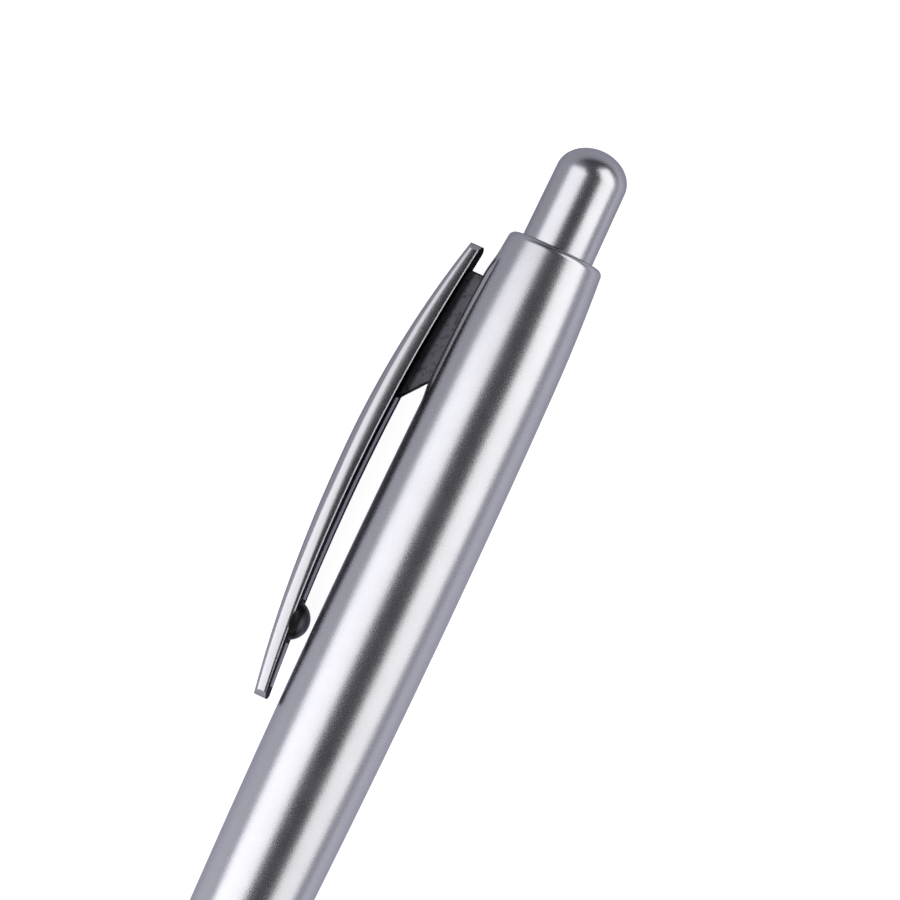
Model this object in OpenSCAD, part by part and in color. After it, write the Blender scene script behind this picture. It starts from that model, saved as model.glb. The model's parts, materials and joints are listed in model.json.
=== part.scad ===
// Push-button ballpoint pen of satin metal, with a solid clip that carries a ball.
// It lies on its side: the writing end points along +X, the button along -X.
// Each piece is drawn upright, with z = 0 at the end of the nose and the clip on the +x side,
// and laid() then turns it down onto the table.

/* [Barrel] */
// Greatest diameter of the barrel
barrel_d = 10.8; // [10.6:0.1:12]
// From the top of the barrel down to its widest point
widest_drop = 35; // [30:1:40]
// Radius of the long curve of the barrel's side
side_r = 1150; // [1000:50:2000]
// Length of the shoulder, where the side curves in to the top
shoulder_l = 12; // [8:1:14]
// Radius of the shoulder's curve
shoulder_r = 165; // [150:5:260]
// Rounding of the barrel's top edge
rim_round = 0.65; // [0.3:0.05:0.7]
// Length of the upper barrel, from its top down to the joint
upper_l = 71; // [66:1:76]
// Radius of the lower barrel's flatter curve
lower_side_r = 4000; // [2500:250:8000]
// Bore of the upper barrel
bore_d = 8.2; // [8:0.1:8.4]
// Thickness of the lip at the barrel's mouth
lip_l = 3; // [2:0.25:3.5]
// Chamfer of each edge at a seam
seam_chamfer = 0.12; // [0.05:0.01:0.2]
// Length of the straight stretch that a holder or a pen loop grips
grip_l = 6; // [4:0.5:8]
// From the top of the barrel down to the start of that stretch
grip_drop = 49.2; // [48:0.5:52]

/* [Nose] */
// Length of the nose that shows
nose_l = 16; // [14:0.5:18]
// Diameter of the nose at its end
nose_end_d = 3.4; // [3.2:0.1:3.8]
// Rounding of the nose's end
nose_round = 0.25; // [0.1:0.05:0.35]
// Length of the sleeve by which the nose sits in the lower barrel
nose_spigot_l = 6; // [4:0.5:8]
// Wall of that sleeve
nose_spigot_wall = 0.4; // [0.3:0.05:0.45]
// Length of the narrow hole at the nose's end
nose_hole_l = 4; // [3:0.5:5]

/* [Button] */
// Diameter of the button
button_d = 6.8; // [6.4:0.1:6.9]
// Length of button that stands out of the barrel
button_out = 9.8; // [8:0.2:12]
// Whole length of the button's cap
button_l = 22; // [20:0.5:24]
// How far the button goes in
press_l = 7; // [5.5:0.5:7.5]
// Thickness of the cap's domed end
button_top_t = 5.5; // [4:0.5:7]

/* [Clip] */
// From the barrel's top down to the clip arm's upper end
arm_top_drop = 2.5; // [2:0.25:3.5]
// From the barrel's top down to the clip arm's lower end
arm_end_drop = 47.3; // [44:0.5:47.5]
// Greatest width of the arm
arm_w = 4.5; // [4:0.1:5.2]
// Radius of the arm's sides, seen from outside
arm_side_r = 280; // [250:5:500]
// How square the arm's section is: 2 is an ellipse, and more has steeper sides
arm_squareness = 2.4; // [2:0.1:4]
// Height of the arm's widest place above its underside, as a share of its depth
arm_belly = 0.28; // [0.1:0.02:0.4]
// How far the sides lean in below that place, as a share of half the width
arm_lean = 0.045; // [0:0.005:0.1]
// Distance from the pen's axis to the arm's ridge at its highest
ridge_reach = 9.81; // [9.4:0.05:10.4]
// From the barrel's top down to the highest and widest place of the arm
ridge_drop = 23.5; // [20:0.5:26]
// Radius of the ridge above that place
ridge_upper_r = 90; // [85:1:150]
// Radius of the ridge below that place
ridge_lower_r = 135; // [110:1:200]
// Distance from the pen's axis to the arm's underside at its highest
under_reach = 7.69; // [7.4:0.05:8]
// From the barrel's top down to that place of the underside
under_drop = 26.5; // [24:0.5:30]
// Radius of the underside
under_r = 190; // [170:2:300]
// Radius of the arm's upper end, seen from outside
arm_top_round = 2.1; // [1.8:0.1:4]
// Radius of the arm's lower end, seen from outside
arm_end_round = 1.7; // [1.6:0.1:4]
// Height of the low rib that runs on from the web under the arm
rib_h = 0.1; // [0.06:0.02:0.16]
// Thickness of the web between the arm and the barrel
web_t = 1.2; // [0.9:0.1:1.5]
// From the barrel's top down to the web's upper edge
web_top_drop = 4.8; // [4.5:0.1:6]
// From the barrel's top down to the web's lower edge, at the barrel
web_foot_drop = 15.5; // [13:0.5:16]
// From the barrel's top down to the web's lower edge, at the arm
web_tip_drop = 17.9; // [16.5:0.1:18]
// Height of the raised land round the web's slot
land_h = 0.28; // [0.2:0.02:0.4]
// Width of that land
land_w = 2.1; // [1.9:0.1:2.4]
// From the barrel's top down to the land's upper end
land_top_drop = 3.5; // [3.2:0.1:4]
// Length of the slope at the land's lower end
land_slope_l = 2; // [1:0.25:3]
// Length of the tongues that hold the web behind the barrel's wall
tongue_l = 1.2; // [0.8:0.1:1.3]
// From the barrel's top down to the place where the arm starts to bend
bend_drop = 18.5; // [18.2:0.1:20]
// Radius of the ball under the arm's lower end
pad_r = 1.9; // [1.7:0.1:2.1]
// From the barrel's top down to the ball's middle
pad_drop = 39.9; // [38:0.1:42]
// Gap between the ball and the barrel
pad_gap = 0.47; // [0.3:0.01:0.6]
// Diameter of the ball's shank, which sits in the arm
shank_d = 1.6; // [1.2:0.1:1.8]
// Length of the shank
shank_l = 0.9; // [0.6:0.1:1]

/* [Refill] */
// Length of the refill, from the writing ball to its rear end
refill_l = 107; // [104:1:112]
// Diameter of the refill's tube
refill_d = 3; // [2.8:0.1:3.1]
// Diameter of the ink column
ink_d = 2; // [1.6:0.1:2.2]
// Length of the tube that the ink fills
ink_l = 68; // [30:1:78]
// How far the refill's tip lies inside the nose when it is drawn in
tip_inset = 3; // [2.5:0.25:3.5]
// Diameter of the metal point
point_d = 2.3; // [2.1:0.1:2.4]
// Length of the grease plug that follows the ink
follower_l = 2.5; // [1.5:0.5:4]
// Length of the plug in the tube's rear end
rear_plug_l = 3; // [2:0.5:5]
// Diameter of the air hole through that plug
air_hole_d = 0.6; // [0.4:0.1:0.8]
// Length of the metal point in front of the tube
point_l = 11; // [10.5:0.5:12]
// Length of the point's tapered end
taper_l = 3; // [2:0.25:4]
// Length of the point's plug in the tube
plug_l = 4.5; // [3:0.5:6]
// Diameter of the writing ball
writing_ball_d = 1; // [0.8:0.1:1.2]
// From the writing ball to the ears that carry the spring
ear_drop = 24; // [22:0.5:26]
// Diameter over the ears
ear_d = 4.2; // [4.1:0.05:4.4]
// Width and length of an ear
ear_w = 1.2; // [0.8:0.1:1.6]

/* [Spring] */
// Outer diameter of the spring
spring_d = 4.3; // [4.2:0.05:4.4]
// Diameter of its wire
wire_d = 0.35; // [0.3:0.01:0.4]
// Number of turns
turns = 12; // [8:1:14]

/* [Push mechanism] */
// From the barrel's top down to the refill's rear end
cam_drop = 21.2; // [20.8:0.2:22]
// Diameter of the plunger's stem
stem_d = 4.9; // [4.9:0.05:5.1]
// Diameter of the bottom of the guide's grooves
groove_d = 6.6; // [6.4:0.1:6.8]
// Width of each groove
groove_w = 2; // [1.8:0.1:2.2]
// Number of grooves, and of the rotor's splines
grooves = 4; // [3:1:4]
// Height of the cam teeth
tooth_h = 1; // [0.6:0.1:1.2]
// Length of the rotor's splines
spline_l = 3.5; // [3:0.25:4]
// From the refill's rear end down to the splines' tops
spline_drop = 5; // [4.5:0.25:5.5]
// Length of the rotor's skirt below the splines
skirt_l = 4.5; // [3:0.5:6]
// Wall of the rotor around the refill
rotor_wall = 0.5; // [0.4:0.05:0.5]
// Length of the lugs that guide the plunger
lug_l = 4; // [3:0.25:4.5]

/* [Joint] */
// Diameter of the thread that joins the two barrels
thread_d = 7.4; // [7.2:0.1:7.4]
// Length of the thread
thread_l = 9; // [7:0.5:10]
// Wall of the bushing in the upper barrel
bushing_wall = 0.55; // [0.4:0.05:0.6]
// Length of the bushing in the upper barrel
bushing_l = 12; // [11:0.5:14]
// Length of the insert in the lower barrel
insert_l = 10; // [8:0.5:12]
// Bore of the insert
insert_bore_d = 6; // [5.4:0.1:6.2]

/* [Hidden] */

// Clearances: pieces pressed together, sliding pieces, the thread, and the writing ball
fit_gap = 0.03;
slide_gap = 0.1;
thread_gap = 0.05;
ball_gap = 0.02;
// Room left at the ends of a stroke, or above a shoulder
end_gap = 0.2;
// Fineness of round faces, of small round faces and of computed curves
round_steps = 96;
small_steps = 48;
curve_step = 2;
// Length beyond a face by which a cut runs clear of it
over = 1;

// Heights above the end of the nose
rear_z = tip_inset + refill_l;
top_z = rear_z + cam_drop;
pen_l = top_z + button_out;
wide_z = top_z - widest_drop;
shoulder_z = top_z - shoulder_l;
joint_z = top_z - upper_l;
grip_top_z = top_z - grip_drop;
tube_z = tip_inset + point_l;
ear_z = tip_inset + ear_drop;
cap_z = pen_l - button_l;
guide_top_z = top_z - lip_l - fit_gap;
ring_top_z = cap_z - press_l - end_gap;
ring_t = 0.8;
ring_z = ring_top_z - ring_t;
spline_top_z = rear_z - spline_drop;
rib_z = spline_top_z - press_l + end_gap * 2;
insert_z = joint_z - insert_l;
chamber_z = 10;
ink_z = tube_z + plug_l + fit_gap;

// Diameters of the bores, from what moves or sits in them
mouth_d = button_d + 2 * slide_gap;
stem_bore_d = stem_d + 2 * fit_gap;
guide_bore_d = stem_d + 3 * slide_gap;
lug_d = groove_d - 3 * slide_gap;
lug_w = groove_w - 2 * slide_gap;
pin_d = refill_d + 2 * rotor_wall;
pin_bore_d = pin_d + 2 * slide_gap;
skirt_d = refill_d + 3.2 * rotor_wall;
chamber_d = spring_d + 4 * slide_gap;
spigot_d = chamber_d + 2 * nose_spigot_wall;
point_hole_d = point_d + 2 * slide_gap;
tube_hole_d = refill_d + 3 * slide_gap;
bushing_bore_d = thread_d + 2 * thread_gap;
bushing_d = bushing_bore_d + 2 * bushing_wall;
// How finely the arm's section is drawn: its side as a share of its height, its crown in degrees
side_share = 1 / 3;
crown_turn = 9;
// How far the arcs at the arm's ends turn to each side, and the degrees of one step
end_turn = 60;
end_step = 7.5;
// The web's tongues behind the barrel's wall, and how deep the web sinks into the arm
tongue_x = bore_d / 2 - slide_gap;
tongue_t = 0.4;

// Slopes of the barrel's side where one curve runs into the next
shoulder_turn = asin((shoulder_z - wide_z) / side_r);
joint_turn = asin((wide_z - joint_z) / side_r);

// How far an arc of radius r has dropped at distance d from its highest point
function arc_drop(d, r) = r - sqrt(r * r - d * d);
// Radius at distance s along an arc that starts at radius r0, already turned by an angle
function arc_on(r0, turn, r, s) = r0 - r * cos(turn) + sqrt(pow(r, 2) - pow(s + r * sin(turn), 2));
function side(z) = barrel_d / 2 - arc_drop(z - wide_z, side_r);
function barrel_r(z) =
    z > shoulder_z ? arc_on(side(shoulder_z), shoulder_turn, shoulder_r, z - shoulder_z)
    : z < joint_z ? arc_on(side(joint_z), joint_turn, lower_side_r, joint_z - z)
    : side(z);
grip_r = barrel_r(grip_top_z - grip_l / 2);

// The nose carries the lower barrel's slope on and curves in to its end
nose_top_r = barrel_r(nose_l);
nose_slope = (barrel_r(nose_l + over) - nose_top_r) / over;
nose_bow = (nose_top_r - nose_end_d / 2 - nose_slope * nose_l) / pow(nose_l, 2);
function nose_r(z) = nose_top_r - nose_slope * (nose_l - z) - nose_bow * pow(nose_l - z, 2);

// Evenly spaced heights from one to another, both included
function heights(from, to, step) =
    let (n = ceil(abs(to - from) / step)) [for (i = [0:n]) from + (to - from) * i / n];
// Outline points of a side from one height to another
function side_points(from, to) = [for (z = heights(from, to, curve_step)) [barrel_r(z), z]];
// Quarter-round corner between a side and a flat end
function corner(r, z, round, up) =
    [for (a = [0:15:90]) [r - round + round * cos(a), z + up * (round * sin(a) - round)]];

// The clip arm's outline at a drop below the barrel's top
function ridge_r(t) = t < ridge_drop ? ridge_upper_r : ridge_lower_r;
function ridge_x(t) = ridge_reach - arc_drop(t - ridge_drop, ridge_r(t));
function under_x(t) = under_reach - arc_drop(t - under_drop, under_r);
function arm_half(t) = arm_w / 2 - arc_drop(t - ridge_drop, arm_side_r);
function arm_depth(t) = ridge_x(t) - under_x(t);
// One section of the arm as points in space: crowned above its widest place, leaning in below it
function eased(v) = pow(v, 2 / arm_squareness);
function half_ring(t, way) =
    let (half = arm_half(t), belly = arm_depth(t) * arm_belly, crown = arm_depth(t) - belly)
    concat(
        [for (s = [0:side_share:1 - side_share])
            [under_x(t) + belly * s, way * half * (1 - arm_lean * pow(1 - s, 2)), top_z - t]],
        [for (a = [0:crown_turn:90 - crown_turn])
            [under_x(t) + belly + crown * eased(sin(a)), way * half * eased(cos(a)), top_z - t]]);
function arm_ring(t) =
    let (near = half_ring(t, 1), far = half_ring(t, -1))
    concat(far, [[ridge_x(t), 0, top_z - t]], [for (i = [len(near) - 1:-1:0]) near[i]]);

// Solid through a run of closed rings of points, from the lowest ring to the highest
module skin(rings) {
    n = len(rings[0]);
    last = (len(rings) - 1) * n;
    polyhedron(
        points = [for (ring = rings) each ring],
        faces = [
            [for (j = [0:n - 1]) j],
            [for (j = [n - 1:-1:0]) last + j],
            for (i = [0:len(rings) - 2], j = [0:n - 1])
                let (a = i * n + j, b = i * n + (j + 1) % n)
                each [[a, a + n, b + n], [a, b + n, b]]
        ]
    );
}

module turned(outline) {
    rotate_extrude($fn = round_steps) polygon(outline);
}

// A flat plate on the clip's middle plane, from its outline in x and z
module plate(outline, t) {
    rotate([90, 0, 0]) linear_extrude(t, center = true) polygon(outline);
}

module bore(d, from, to) {
    translate([0, 0, from]) cylinder(d = d, h = to - from, $fn = round_steps);
}

// How far the arm reaches out from the pen's axis, in a direction turned away from the clip's middle
function arm_reach(turn) = max([for (p = arm_ring(ridge_drop)) p[0] * cos(turn) + p[1] * sin(turn)]);
// The pen rolls until the barrel and the clip's arm both touch the table: found by halving
function settled(low, high, halvings) =
    let (middle = (low + high) / 2)
    halvings == 0 ? middle
    : arm_reach(90 - middle) > barrel_d / 2 ? settled(low, middle, halvings - 1)
    : settled(middle, high, halvings - 1);
rest_roll = settled(0, 60, 24);
clip_reach = arm_reach(rest_roll);
module laid() {
    translate([pen_l / 2, (clip_reach - barrel_d / 2) / 2, barrel_d / 2])
        rotate([90 + rest_roll, 0, 0]) rotate([0, -90, 0]) children();
}

module upper_barrel() {
    pocket_z = joint_z + bushing_l + fit_gap;
    outside = [
        [barrel_r(joint_z) - seam_chamfer, joint_z],
        each side_points(joint_z + seam_chamfer, grip_top_z - grip_l - curve_step),
        [grip_r, grip_top_z - grip_l],
        [grip_r, grip_top_z],
        each side_points(grip_top_z + curve_step, top_z - rim_round - curve_step / 4),
        each corner(barrel_r(top_z - rim_round), top_z, rim_round, 1)
    ];
    inside = [
        [mouth_d / 2, top_z],
        [mouth_d / 2, top_z - lip_l],
        [bore_d / 2, top_z - lip_l],
        [bore_d / 2, pocket_z],
        [bushing_d / 2 + fit_gap, pocket_z],
        [bushing_d / 2 + fit_gap, joint_z]
    ];
    color([0.74, 0.75, 0.78]) difference() {
        union() {
            turned(concat(outside, inside));
            slot_land();
        }
        clip_slot(slide_gap / 2, barrel_d);
    }
}

// The raised land round the slot, which slopes down at its lower end
module slot_land() {
    high_z = top_z - land_top_drop;
    low_z = top_z - web_foot_drop;
    slope_z = low_z - land_slope_l;
    root_r = bore_d / 2 + end_gap;
    intersection() {
        turned(concat([[barrel_r(slope_z) - end_gap / 2, slope_z]],
                      [for (z = heights(low_z, high_z, curve_step)) [barrel_r(z) + land_h, z]],
                      [[root_r, high_z], [root_r, slope_z]]));
        translate([0, -land_w / 2, slope_z - over])
            cube([barrel_d, land_w, high_z - slope_z + 2 * over]);
    }
}

// The slot that the clip's web passes through
module clip_slot(gap, depth) {
    low = top_z - web_foot_drop - gap;
    translate([0, -web_t / 2 - gap, low])
        cube([depth, web_t + 2 * gap, web_foot_drop - web_top_drop + 2 * gap]);
}

// Points of one of the arm's ends, seen from outside: up is 1 at its top and -1 at its lower end
function end_arc(drop, round, up) =
    [for (a = [-end_turn:end_step:end_turn])
        [up * round * sin(a), top_z - drop - up * round * (1 - cos(a))]];
// A stretch of the clip's arm between two drops, within the arm's rounded ends
module arm_between(from, to) {
    middle_z = top_z - (arm_top_drop + arm_end_drop) / 2;
    top = end_arc(arm_top_drop, arm_top_round, 1);
    end = end_arc(arm_end_drop, arm_end_round, -1);
    intersection() {
        skin([for (t = heights(to, from, curve_step)) arm_ring(t)]);
        rotate([90, 0, 90]) linear_extrude(ridge_reach + over)
            polygon(concat(top, [[arm_w, middle_z]], end, [[-arm_w, middle_z]]));
    }
}

// The low rib under the arm, on the web's line
module under_rib(from, to) {
    drops = heights(from, to, curve_step);
    plate(concat([for (t = drops) [under_x(t) - rib_h, top_z - t]],
                 [for (i = [len(drops) - 1:-1:0]) [under_x(drops[i]) + rib_h, top_z - drops[i]]]), web_t);
}

module clip_root() {
    low_z = top_z - web_foot_drop;
    high_z = top_z - web_top_drop;
    web = [
        each [for (t = heights(web_top_drop, web_tip_drop, curve_step)) [under_x(t) + tongue_t, top_z - t]],
        [under_x(web_tip_drop), top_z - web_tip_drop],
        [barrel_r(low_z), low_z],
        [tongue_x, low_z],
        [tongue_x, low_z - tongue_l],
        [tongue_x - tongue_t, low_z - tongue_l],
        [tongue_x - tongue_t, high_z + tongue_l],
        [tongue_x, high_z + tongue_l],
        [tongue_x, high_z]
    ];
    color([0.62, 0.63, 0.66]) union() {
        arm_between(arm_top_drop - over, bend_drop);
        plate(web, web_t);
        under_rib(web_tip_drop - rib_h, bend_drop);
    }
}

pad_x = barrel_r(top_z - pad_drop) + pad_gap + pad_r;
pad_seat_x = under_x(pad_drop) - fit_gap;
module clip_arm() {
    color([0.62, 0.63, 0.66]) difference() {
        union() {
            arm_between(bend_drop, arm_end_drop + over);
            under_rib(bend_drop, pad_drop - pad_r - end_gap);
            under_rib(pad_drop + pad_r + end_gap, arm_end_drop - web_t);
        }
        translate([pad_seat_x, 0, top_z - pad_drop]) rotate([0, 90, 0])
            cylinder(d = shank_d + 2 * fit_gap, h = shank_l + 2 * fit_gap, $fn = small_steps);
    }
}

// The ball is cut along the arm's underside, on which it sits
module clip_ball() {
    low = pad_drop - pad_r - over;
    high = pad_drop + pad_r + over;
    behind = concat([for (t = heights(low, high, curve_step / 4)) [under_x(t) - fit_gap, top_z - t]],
                    [[ridge_reach, top_z - high], [ridge_reach, top_z - low]]);
    color([0.22, 0.22, 0.24]) {
        difference() {
            translate([pad_x, 0, top_z - pad_drop]) sphere(r = pad_r, $fn = 2 * round_steps);
            plate(behind, 2 * (pad_r + over));
        }
        translate([pad_seat_x - shank_l / 2, 0, top_z - pad_drop]) rotate([0, 90, 0])
            cylinder(d = shank_d, h = shank_l * 1.5, $fn = small_steps);
    }
}

// Bars across the axis, one for each groove, lug or spline
module spokes(count, w, from, to, d) {
    intersection() {
        bore(d, from, to);
        for (i = [0:count - 1]) rotate([0, 0, i * 360 / count])
            translate([0, -w / 2, from]) cube([d, w, to - from]);
    }
}

// Wedges that cut radial V-teeth into an end: the deepest lines lie at z, and open upwards or down
module tooth_cuts(count, turn, z, up) {
    half = PI * stem_d / count / 2;
    for (i = [0:count - 1]) rotate([0, 0, turn + i * 360 / count]) translate([0, 0, z])
        rotate([90, 0, 90]) linear_extrude(stem_d)
            polygon([[0, 0], [half * 2, up * tooth_h * 2], [-half * 2, up * tooth_h * 2]]);
}

module guide_sleeve() {
    color([0.9, 0.9, 0.88]) difference() {
        bore(bore_d - 2 * fit_gap, rib_z, guide_top_z);
        bore(mouth_d, ring_top_z, guide_top_z + over);
        bore(guide_bore_d, rib_z - over, ring_top_z + over);
        spokes(grooves, groove_w, rib_z - over, ring_z, groove_d);
        // the splines rest in these notches while the tip is out
        for (i = [0:grooves - 1]) rotate([0, 0, (i + 0.5) * 360 / grooves])
            translate([0, 0, rib_z - fit_gap]) rotate([90, 0, 90]) linear_extrude(groove_d / 2)
                polygon([[-groove_w / 2, -over], [groove_w / 2, -over], [groove_w / 2, 0],
                         [-groove_w / 2, tooth_h]]);
        // the clip's tongues lie in this slot, which is open at the top for assembly
        translate([0, -web_t / 2 - slide_gap, top_z - web_foot_drop - tongue_l - end_gap])
            cube([bore_d, web_t + 2 * slide_gap, web_foot_drop]);
    }
}

module thread_bushing() {
    color([0.78, 0.66, 0.4]) difference() {
        bore(bushing_d, joint_z + end_gap, joint_z + bushing_l);
        bore(bushing_bore_d, joint_z, joint_z + bushing_l + over);
    }
}

module push_button() {
    dome_z = pen_l - button_d / 2;
    color([0.74, 0.75, 0.78]) difference() {
        union() {
            bore(button_d, cap_z, dome_z);
            translate([0, 0, dome_z]) sphere(d = button_d, $fn = round_steps);
        }
        bore(stem_bore_d, cap_z - over, pen_l - button_top_t);
    }
}

module cam_plunger() {
    lug_top_z = ring_z - end_gap;
    tip_z = spline_top_z - tooth_h / 2 + slide_gap;
    color([0.3, 0.32, 0.36]) difference() {
        union() {
            bore(stem_d, tip_z, pen_l - button_top_t - end_gap);
            spokes(grooves, lug_w, lug_top_z - lug_l, lug_top_z, lug_d);
        }
        bore(pin_bore_d, tip_z - over, rear_z + rotor_wall * 2 + end_gap * 3);
        tooth_cuts(grooves * 2, 33.75, tip_z + tooth_h, -1);
    }
}

module rotor() {
    hub_z = spline_top_z - spline_l;
    color([0.85, 0.85, 0.82]) difference() {
        union() {
            bore(skirt_d, hub_z - skirt_l, hub_z + over);
            difference() {
                bore(stem_d, hub_z, spline_top_z);
                tooth_cuts(grooves * 2, 0, spline_top_z - tooth_h, 1);
            }
            bore(pin_d, hub_z, rear_z + rotor_wall * 2);
            for (i = [0:grooves - 1]) rotate([0, 0, i * 360 / grooves]) spline(hub_z);
        }
        bore(refill_d + 2 * fit_gap, hub_z - skirt_l - over, rear_z + fit_gap);
    }
}

// One spline, with the slanted top that turns it
module spline(z) {
    intersection() {
        translate([0, 0, z]) rotate([90, 0, 90]) linear_extrude(lug_d / 2)
            polygon([[-lug_w / 2, 0], [lug_w / 2, 0], [lug_w / 2, spline_l],
                     [-lug_w / 2, spline_l - tooth_h]]);
        difference() {
            bore(lug_d, z - over, z + spline_l + over);
            bore(stem_d - 4 * fit_gap, z - 2 * over, z + spline_l + 2 * over);
        }
    }
}

module refill_tube() {
    color([0.93, 0.94, 0.95]) difference() {
        union() {
            bore(refill_d, tube_z, rear_z);
            spokes(2, ear_w, ear_z, ear_z + ear_w, ear_d);
        }
        bore(ink_d, tube_z - over, rear_z + over);
    }
}

writing_ball_z = tip_inset + writing_ball_d / 2;
module refill_point() {
    socket_r = writing_ball_d / 2 + ball_gap;
    lip_z = writing_ball_z - writing_ball_d / 5;
    lip_r = socket_r + 0.1;
    taper_z = lip_z + taper_l;
    plug_z = tube_z + plug_l;
    color([0.8, 0.78, 0.7]) difference() {
        turned([
            [0, lip_z], [lip_r, lip_z], [point_d / 2, taper_z], [point_d / 2, tube_z - 1],
            [refill_d / 2, tube_z - 1], [refill_d / 2, tube_z - fit_gap],
            [ink_d / 2 - fit_gap, tube_z - fit_gap], [ink_d / 2 - fit_gap, plug_z], [0, plug_z]
        ]);
        translate([0, 0, writing_ball_z]) sphere(r = socket_r, $fn = small_steps);
        bore(writing_ball_d / 2, writing_ball_z + writing_ball_d, plug_z + over);
        bore(writing_ball_d / 4, writing_ball_z, plug_z);
    }
}

module ink_column() {
    color([0.08, 0.12, 0.45]) bore(ink_d - 2 * fit_gap, ink_z, ink_z + ink_l);
}

module ink_follower() {
    color([0.85, 0.82, 0.6]) bore(ink_d - 2 * fit_gap, ink_z + ink_l, ink_z + ink_l + follower_l);
}

module refill_plug() {
    color([0.9, 0.9, 0.9]) difference() {
        bore(ink_d - 2 * fit_gap, rear_z - rear_plug_l, rear_z);
        bore(air_hole_d, rear_z - rear_plug_l - over, rear_z + over);
    }
}

module writing_ball() {
    color([0.6, 0.6, 0.62]) translate([0, 0, writing_ball_z])
        sphere(d = writing_ball_d, $fn = small_steps);
}

// The spring's end turns lie closer together than the rest
end_pitch = wire_d + 0.45;
spring_low_z = chamber_z + wire_d / 2 + fit_gap;
spring_high_z = ear_z - wire_d / 2 - fit_gap;
mid_pitch = (spring_high_z - spring_low_z - 2 * end_pitch) / (turns - 2);
function coil_z(u) = spring_low_z
    + end_pitch * (min(u, 1) + max(u - turns + 1, 0)) + mid_pitch * min(max(u - 1, 0), turns - 2);
rise = [0, 0, 1];
function coil_out(u) = [cos(360 * u), sin(360 * u), 0];
function coil_middle(u) = coil_out(u) * (spring_d - wire_d) / 2 + rise * coil_z(u);
function coil_ring(u) =
    [for (a = [0:60:300]) coil_middle(u) + wire_d / 2 * (coil_out(u) * cos(a) - rise * sin(a))];
coil_steps = 12;
spring_gap = min([for (i = [0:coil_steps * (turns - 1)])
    norm(coil_middle(i / coil_steps + 1) - coil_middle(i / coil_steps))]) - wire_d;
echo(str("Least gap between the spring's turns, in mm: ", spring_gap));
module return_spring() {
    color([0.7, 0.7, 0.72]) skin([for (i = [0:coil_steps * turns]) coil_ring(i / coil_steps)]);
}

module lower_barrel() {
    outside = [
        [nose_top_r - seam_chamfer, nose_l],
        each side_points(nose_l + seam_chamfer, joint_z - seam_chamfer),
        [barrel_r(joint_z) - seam_chamfer, joint_z]
    ];
    inside = [
        [thread_d / 2 + 2 * fit_gap, joint_z],
        [thread_d / 2 + 2 * fit_gap, insert_z - fit_gap],
        [spigot_d / 2 + fit_gap, insert_z - fit_gap],
        [spigot_d / 2 + fit_gap, nose_l]
    ];
    color([0.74, 0.75, 0.78]) turned(concat(outside, inside));
}

module thread_insert() {
    color([0.78, 0.66, 0.4]) difference() {
        union() {
            bore(thread_d + 2 * fit_gap, insert_z, joint_z);
            bore(thread_d, insert_z, joint_z + thread_l);
        }
        bore(insert_bore_d, insert_z - over, joint_z + thread_l + over);
    }
}

// The tube inside the lower barrel that centres the refill and its spring
module front_liner() {
    low = nose_l + nose_spigot_l + fit_gap;
    color([0.9, 0.9, 0.88]) difference() {
        bore(spigot_d, low, insert_z - fit_gap);
        bore(chamber_d, low - over, insert_z + over);
    }
}

module nose_cone() {
    outside = [
        each [for (a = [-90:15:0]) [nose_end_d / 2 - nose_round + nose_round * cos(a),
                                   nose_round + nose_round * sin(a)]],
        each [for (z = heights(1, nose_l - seam_chamfer, curve_step / 2)) [nose_r(z), z]],
        [nose_top_r - seam_chamfer, nose_l],
        [spigot_d / 2, nose_l],
        [spigot_d / 2, nose_l + nose_spigot_l]
    ];
    inside = [
        [chamber_d / 2, nose_l + nose_spigot_l],
        [chamber_d / 2, chamber_z],
        [tube_hole_d / 2, chamber_z],
        [tube_hole_d / 2, nose_hole_l],
        [point_hole_d / 2, nose_hole_l],
        [point_hole_d / 2, 0]
    ];
    color([0.7, 0.71, 0.74]) turned(concat(outside, inside));
}

laid() upper_barrel();
laid() clip_root();
laid() clip_arm();
laid() clip_ball();
laid() guide_sleeve();
laid() thread_bushing();
laid() push_button();
laid() cam_plunger();
laid() rotor();
laid() refill_tube();
laid() refill_point();
laid() ink_column();
laid() ink_follower();
laid() refill_plug();
laid() return_spring();
laid() writing_ball();
laid() lower_barrel();
laid() thread_insert();
laid() front_liner();
laid() nose_cone();
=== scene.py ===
import math

import bmesh
import bpy
import numpy as np
from mathutils import Matrix, Vector
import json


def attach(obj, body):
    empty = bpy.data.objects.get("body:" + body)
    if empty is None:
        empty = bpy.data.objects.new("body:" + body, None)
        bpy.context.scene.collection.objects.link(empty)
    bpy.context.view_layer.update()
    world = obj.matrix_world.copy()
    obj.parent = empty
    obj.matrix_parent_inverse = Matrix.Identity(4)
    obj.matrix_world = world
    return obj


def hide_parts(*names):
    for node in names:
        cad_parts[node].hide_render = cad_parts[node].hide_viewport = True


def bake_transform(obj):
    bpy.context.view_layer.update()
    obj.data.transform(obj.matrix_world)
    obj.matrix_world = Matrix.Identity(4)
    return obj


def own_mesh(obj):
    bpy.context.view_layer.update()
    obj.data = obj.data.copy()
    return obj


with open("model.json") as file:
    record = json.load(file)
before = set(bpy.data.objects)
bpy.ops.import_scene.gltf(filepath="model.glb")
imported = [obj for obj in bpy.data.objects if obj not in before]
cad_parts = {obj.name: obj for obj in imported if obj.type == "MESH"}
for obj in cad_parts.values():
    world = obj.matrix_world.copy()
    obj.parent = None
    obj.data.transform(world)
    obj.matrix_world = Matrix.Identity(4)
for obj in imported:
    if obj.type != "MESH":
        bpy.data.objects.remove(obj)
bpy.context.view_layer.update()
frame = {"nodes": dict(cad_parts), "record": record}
print("frame loaded:", len(frame["nodes"]), "solids")

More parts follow.
